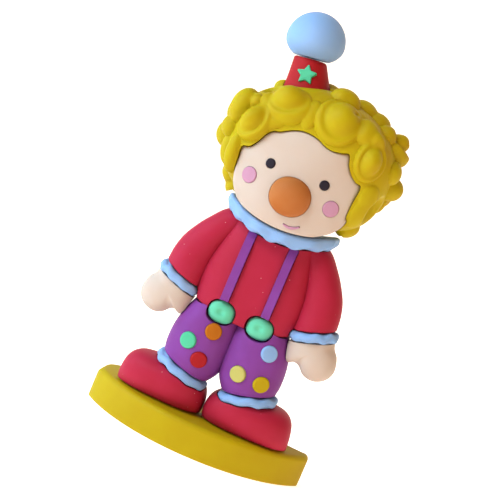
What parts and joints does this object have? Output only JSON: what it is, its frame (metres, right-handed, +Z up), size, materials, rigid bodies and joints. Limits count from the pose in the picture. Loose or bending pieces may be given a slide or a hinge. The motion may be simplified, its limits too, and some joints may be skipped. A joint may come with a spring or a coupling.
{
  "type": "moulded clown figurine",
  "caption": "Upright moulded clown figurine with curly hair, a small tilted hat with a pompon, a large round nose, suspenders, dotted trousers and a thick foot plate.",
  "frame": {"origin": "on the underside of the foot plate, straight below the middle of the figure", "axes": "+Z up the standing figure, +X to the right of someone looking at its front, -Y the way it faces"},
  "size_m": [0.0516, 0.0302, 0.0995],
  "materials": {
    "mustard_pvc": "soft moulded PVC, mustard yellow, matte",
    "crimson_pvc": "soft moulded PVC, crimson, matte",
    "light_blue_pvc": "soft moulded PVC, light blue, matte",
    "purple_pvc": "soft moulded PVC, purple, matte",
    "orange_pvc": "soft moulded PVC, orange, matte",
    "mint_pvc": "soft moulded PVC, mint green, matte",
    "red_pvc": "soft moulded PVC, red, matte",
    "cream_pvc": "soft moulded PVC, pale yellow, matte",
    "skin_pvc": "soft moulded PVC, light skin tone, matte",
    "green_pvc": "soft moulded PVC, bright green, slightly satin",
    "nose_pvc": "soft moulded PVC, brownish orange, matte",
    "dark_pvc": "soft moulded PVC, nearly black, matte",
    "pink_pvc": "soft moulded PVC, pink, matte",
    "hair_pvc": "soft moulded PVC, golden yellow, matte"
  },
  "bodies": {
    "root": {"base": "mustard_pvc", "shoe_left": "crimson_pvc", "shoe_right": "crimson_pvc", "trouser_cuff_left": "light_blue_pvc", "trouser_cuff_right": "light_blue_pvc", "trousers": "purple_pvc", "dot_orange": "orange_pvc", "dot_mint": "mint_pvc", "dot_red": "red_pvc", "dot_sky": "light_blue_pvc", "dot_cream": "cream_pvc", "dot_mustard": "mustard_pvc", "shirt": "crimson_pvc", "sleeve_cuff_left": "light_blue_pvc", "sleeve_cuff_right": "light_blue_pvc", "hand_left": "skin_pvc", "hand_right": "skin_pvc", "suspender_left": "purple_pvc", "suspender_right": "purple_pvc", "button_left": "green_pvc", "button_right": "green_pvc", "collar": "light_blue_pvc", "face": "skin_pvc", "nose": "nose_pvc", "eye_left": "dark_pvc", "eye_right": "dark_pvc", "cheek_left": "pink_pvc", "cheek_right": "pink_pvc", "mouth": "pink_pvc", "hair": "hair_pvc", "hat": "red_pvc", "star": "mint_pvc", "pompon": "light_blue_pvc"}
  },
  "joints": []
}
